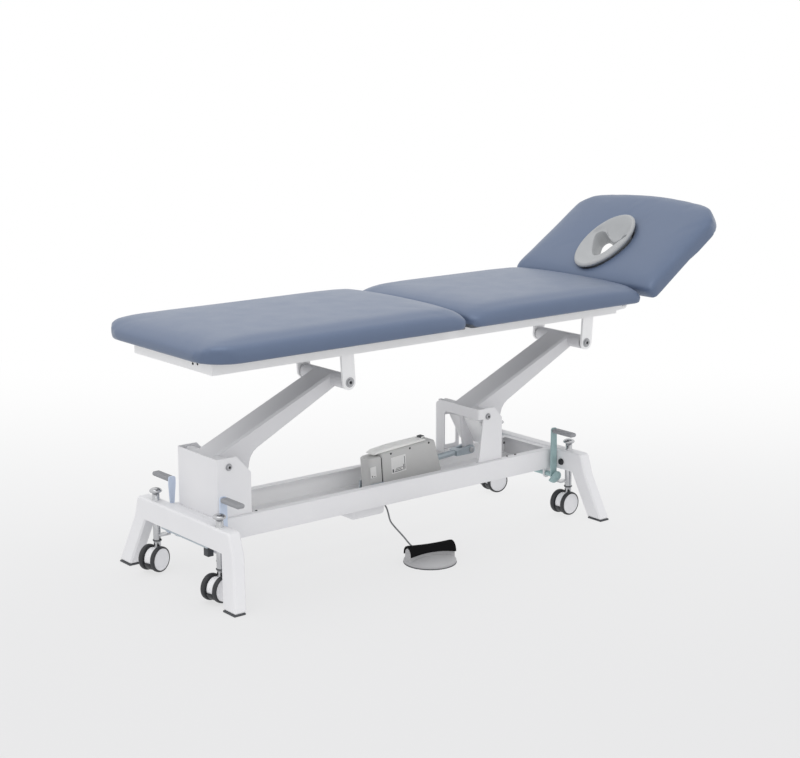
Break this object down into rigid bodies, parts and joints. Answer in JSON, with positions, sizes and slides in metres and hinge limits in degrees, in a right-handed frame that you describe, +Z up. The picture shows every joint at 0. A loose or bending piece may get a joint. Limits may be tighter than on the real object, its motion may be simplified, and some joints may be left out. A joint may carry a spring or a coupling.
{
  "type": "treatment table",
  "caption": "Height-adjustable treatment table: padded leg, middle and head sections with a face hole, on parallel lift arms over a trough base with retractable castors.",
  "frame": {"origin": "on the floor, under the middle of the bounding box (the free cable left out)", "axes": "+X along the table from the foot end to the head end, +Z up, -Y towards the side with the foot switch"},
  "size_m": [1.9986, 0.661, 0.9832],
  "materials": {
    "white_powder_coat": "satin white powder coat",
    "zinc_plated_steel": "bluish zinc plate",
    "chromed_steel": "polished",
    "charcoal_plastic": "matte",
    "grey_rubber": "matte ribbed",
    "grey_plastic": "matte",
    "pale_plastic": "matte",
    "white_plastic": "satin",
    "black_rubber": "matte",
    "cable_grey": "matte",
    "plywood": "plain",
    "blue_grey_leatherette": "soft grain over foam",
    "moulded_foam": "satin skin"
  },
  "bodies": {
    "base": {"base_trough": "white_powder_coat", "foot_end_bridge": "white_powder_coat", "head_end_bridge": "white_powder_coat", "foot_near_foot_pad": "charcoal_plastic", "foot_far_foot_pad": "charcoal_plastic", "head_near_foot_pad": "charcoal_plastic", "head_far_foot_pad": "charcoal_plastic", "foot_end_tower": "white_powder_coat", "head_end_tower": "white_powder_coat", "foot_end_tower_pin": "chromed_steel", "head_end_tower_pin": "chromed_steel", "actuator_cradle": "zinc_plated_steel", "actuator_housing": "grey_plastic", "actuator_cover": "pale_plastic", "motor_cover": "grey_plastic", "belly_pan": "white_powder_coat", "cable_gland": "charcoal_plastic", "foot_switch_cable": "cable_grey", "foot_switch_base": "pale_plastic"},
    "switch_pedal": {"foot_switch_pedal": "black_rubber"},
    "foot_arm": {"foot_end_arm": "white_powder_coat"},
    "head_arm": {"head_end_arm": "white_powder_coat", "rod_pin": "chromed_steel"},
    "push_rod": {"actuator_rod": "zinc_plated_steel"},
    "top": {"top_frame": "white_powder_coat", "foot_end_hanger_pin": "chromed_steel", "head_end_hanger_pin": "chromed_steel", "mid_board": "plywood", "mid_cushion": "blue_grey_leatherette", "fixed_hinge_leaf": "zinc_plated_steel"},
    "leg_section": {"leg_board": "plywood", "leg_cushion": "blue_grey_leatherette", "swinging_hinge_leaf": "zinc_plated_steel"},
    "head_section": {"head_frame": "white_powder_coat", "head_hinge_pin": "chromed_steel", "head_board": "plywood", "head_cushion": "blue_grey_leatherette", "face_ring": "moulded_foam"},
    "foot_pedals": {"foot_pedal_shaft": "zinc_plated_steel", "foot_near_pedal_pad": "grey_rubber", "foot_far_pedal_pad": "grey_rubber"},
    "foot_near_stem": {"foot_near_castor_stem": "chromed_steel"},
    "foot_near_castor": {"foot_near_castor_fork": "white_plastic"},
    "foot_near_wheel_near": {"foot_near_wheel_near": "white_plastic"},
    "foot_near_wheel_far": {"foot_near_wheel_far": "white_plastic"},
    "foot_far_stem": {"foot_far_castor_stem": "chromed_steel"},
    "foot_far_castor": {"foot_far_castor_fork": "white_plastic"},
    "foot_far_wheel_near": {"foot_far_wheel_near": "white_plastic"},
    "foot_far_wheel_far": {"foot_far_wheel_far": "white_plastic"},
    "head_pedals": {"head_pedal_shaft": "zinc_plated_steel", "head_near_pedal_pad": "grey_rubber", "head_far_pedal_pad": "grey_rubber"},
    "head_near_stem": {"head_near_castor_stem": "chromed_steel"},
    "head_near_castor": {"head_near_castor_fork": "white_plastic"},
    "head_near_wheel_near": {"head_near_wheel_near": "white_plastic"},
    "head_near_wheel_far": {"head_near_wheel_far": "white_plastic"},
    "head_far_stem": {"head_far_castor_stem": "chromed_steel"},
    "head_far_castor": {"head_far_castor_fork": "white_plastic"},
    "head_far_wheel_near": {"head_far_wheel_near": "white_plastic"},
    "head_far_wheel_far": {"head_far_wheel_far": "white_plastic"}
  },
  "joints": [
    {"name": "lift", "type": "hinge", "parent": "base", "child": "foot_arm", "pos_m": [-0.82184, 0.01948, 0.354], "axis": [0, -1, 0], "range_deg": [-33, 36]},
    {"name": "head_arm_swing", "type": "hinge", "parent": "base", "child": "head_arm", "pos_m": [0.13716, 0.01948, 0.354], "axis": [0, -1, 0], "range_deg": [-33.5, 36.5]},
    {"name": "top_level", "type": "hinge", "parent": "foot_arm", "child": "top", "pos_m": [-0.40741, 0.01948, 0.53938], "axis": [0, -1, 0], "range_deg": [-36.5, 33.5]},
    {"name": "rod_pivot", "type": "hinge", "parent": "head_arm", "child": "push_rod", "pos_m": [0.14588, 0.01948, 0.2293], "axis": [0, -1, 0], "range_deg": [-36.5, 33.5]},
    {"name": "leg_section_hinge", "type": "hinge", "parent": "top", "child": "leg_section", "pos_m": [-0.09384, 0.01948, 0.716], "axis": [0, 1, 0], "range_deg": [0, 70]},
    {"name": "head_section_hinge", "type": "hinge", "parent": "top", "child": "head_section", "pos_m": [0.62819, 0.01948, 0.672], "axis": [0, -1, 0], "range_deg": [-65, 5]},
    {"name": "switch_rocker", "type": "hinge", "parent": "base", "child": "switch_pedal", "pos_m": [-0.23484, -0.25252, 0.032], "axis": [0.9744, -0.225, 0], "range_deg": [-6, 6], "stiffness_Nm_per_rad": 0.8},
    {"name": "foot_pedal_swing", "type": "hinge", "parent": "base", "child": "foot_pedals", "pos_m": [-0.86384, 0.01948, 0.127], "axis": [0, 1, 0], "range_deg": [0, 75]},
    {"name": "foot_near_stem_slide", "type": "slide", "parent": "base", "child": "foot_near_stem", "axis": [0, 0, -1], "range_m": [0, 0.0201]},
    {"name": "foot_near_swivel", "type": "hinge", "parent": "foot_near_stem", "child": "foot_near_castor", "pos_m": [-0.89684, -0.14952, 0.09], "axis": [0, 0, 1], "continuous": true},
    {"name": "foot_near_roll_near", "type": "hinge", "parent": "foot_near_castor", "child": "foot_near_wheel_near", "pos_m": [-0.91236, -0.15339, 0.041], "axis": [-0.2419, 0.9703, 0], "continuous": true},
    {"name": "foot_near_roll_far", "type": "hinge", "parent": "foot_near_castor", "child": "foot_near_wheel_far", "pos_m": [-0.91236, -0.15339, 0.041], "axis": [-0.2419, 0.9703, 0], "continuous": true},
    {"name": "foot_far_stem_slide", "type": "slide", "parent": "base", "child": "foot_far_stem", "axis": [0, 0, -1], "range_m": [0, 0.0201]},
    {"name": "foot_far_swivel", "type": "hinge", "parent": "foot_far_stem", "child": "foot_far_castor", "pos_m": [-0.89684, 0.18848, 0.09], "axis": [0, 0, 1], "continuous": true},
    {"name": "foot_far_roll_near", "type": "hinge", "parent": "foot_far_castor", "child": "foot_far_wheel_near", "pos_m": [-0.91197, 0.18327, 0.041], "axis": [-0.3256, 0.9455, 0], "continuous": true},
    {"name": "foot_far_roll_far", "type": "hinge", "parent": "foot_far_castor", "child": "foot_far_wheel_far", "pos_m": [-0.91197, 0.18327, 0.041], "axis": [-0.3256, 0.9455, 0], "continuous": true},
    {"name": "head_pedal_swing", "type": "hinge", "parent": "base", "child": "head_pedals", "pos_m": [0.39616, 0.01948, 0.127], "axis": [0, -1, 0], "range_deg": [0, 75]},
    {"name": "head_near_stem_slide", "type": "slide", "parent": "base", "child": "head_near_stem", "axis": [0, 0, -1], "range_m": [0, 0.0201]},
    {"name": "head_near_swivel", "type": "hinge", "parent": "head_near_stem", "child": "head_near_castor", "pos_m": [0.42916, -0.14952, 0.09], "axis": [0, 0, 1], "continuous": true},
    {"name": "head_near_roll_near", "type": "hinge", "parent": "head_near_castor", "child": "head_near_wheel_near", "pos_m": [0.41319, -0.15036, 0.041], "axis": [-0.0523, 0.9986, 0], "continuous": true},
    {"name": "head_near_roll_far", "type": "hinge", "parent": "head_near_castor", "child": "head_near_wheel_far", "pos_m": [0.41319, -0.15036, 0.041], "axis": [-0.0523, 0.9986, 0], "continuous": true},
    {"name": "head_far_stem_slide", "type": "slide", "parent": "base", "child": "head_far_stem", "axis": [0, 0, -1], "range_m": [0, 0.0201]},
    {"name": "head_far_swivel", "type": "hinge", "parent": "head_far_stem", "child": "head_far_castor", "pos_m": [0.42916, 0.18848, 0.09], "axis": [0, 0, 1], "continuous": true},
    {"name": "head_far_roll_near", "type": "hinge", "parent": "head_far_castor", "child": "head_far_wheel_near", "pos_m": [0.41332, 0.19071, 0.041], "axis": [0.1392, 0.9903, 0], "continuous": true},
    {"name": "head_far_roll_far", "type": "hinge", "parent": "head_far_castor", "child": "head_far_wheel_far", "pos_m": [0.41332, 0.19071, 0.041], "axis": [0.1392, 0.9903, 0], "continuous": true}
  ],
  "couplings": [
    {"joint": "head_arm_swing", "follows": "lift", "ratio": 1},
    {"joint": "top_level", "follows": "lift", "ratio": -1},
    {"joint": "rod_pivot", "follows": "lift", "ratio": -1},
    {"joint": "foot_near_stem_slide", "follows": "foot_pedal_swing", "m_per_rad": 0.015279},
    {"joint": "foot_far_stem_slide", "follows": "foot_pedal_swing", "m_per_rad": 0.015279},
    {"joint": "head_near_stem_slide", "follows": "head_pedal_swing", "m_per_rad": 0.015279},
    {"joint": "head_far_stem_slide", "follows": "head_pedal_swing", "m_per_rad": 0.015279}
  ]
}
